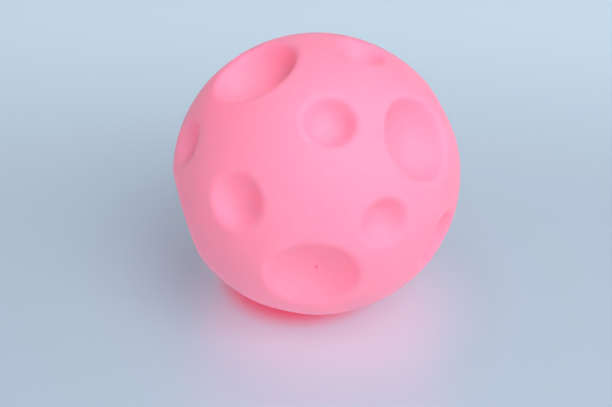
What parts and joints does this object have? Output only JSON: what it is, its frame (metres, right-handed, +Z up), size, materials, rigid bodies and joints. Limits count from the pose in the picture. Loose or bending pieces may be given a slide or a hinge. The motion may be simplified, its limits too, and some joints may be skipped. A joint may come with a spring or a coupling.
{
  "type": "sensory ball",
  "caption": "Soft hollow vinyl ball with round craters of mixed sizes all over, standing on the rim of a crater that holds a reed squeaker; it is squeezed, squeaks and springs back.",
  "frame": {"origin": "on the surface that the ball stands on, under the middle of its bounding box, which is the axis of the squeaker", "axes": "+Z up; -Y towards the side with the pinhole in its large crater; +X to the right of a viewer on that side"},
  "size_m": [0.0698, 0.0695, 0.0666],
  "materials": {
    "soft_vinyl": "soft matt pink vinyl with a faint satin sheen",
    "white_plastic": "moulded white plastic, satin",
    "ivory_plastic": "moulded ivory plastic, satin",
    "grey_plastic": "moulded grey plastic, satin",
    "reed_film": "cloudy polyester film"
  },
  "bodies": {
    "squeaker": {"squeaker_body": "white_plastic", "reed_bed": "ivory_plastic", "reed_wedge": "grey_plastic"},
    "shell": {"ball_shell": "soft_vinyl"},
    "reed": {"squeaker_reed": "reed_film"}
  },
  "joints": [
    {"name": "squeeze", "type": "slide", "parent": "squeaker", "child": "shell", "axis": [0, 0, -1], "range_m": [0, 0.012], "stiffness_N_per_m": 1200, "deforming": ["ball_shell"]},
    {"name": "reed_beat", "type": "hinge", "parent": "squeaker", "child": "reed", "pos_m": [0, 0, 0.008], "axis": [-1, 0, 0], "range_deg": [-3, 6], "stiffness_Nm_per_rad": 0.005}
  ]
}
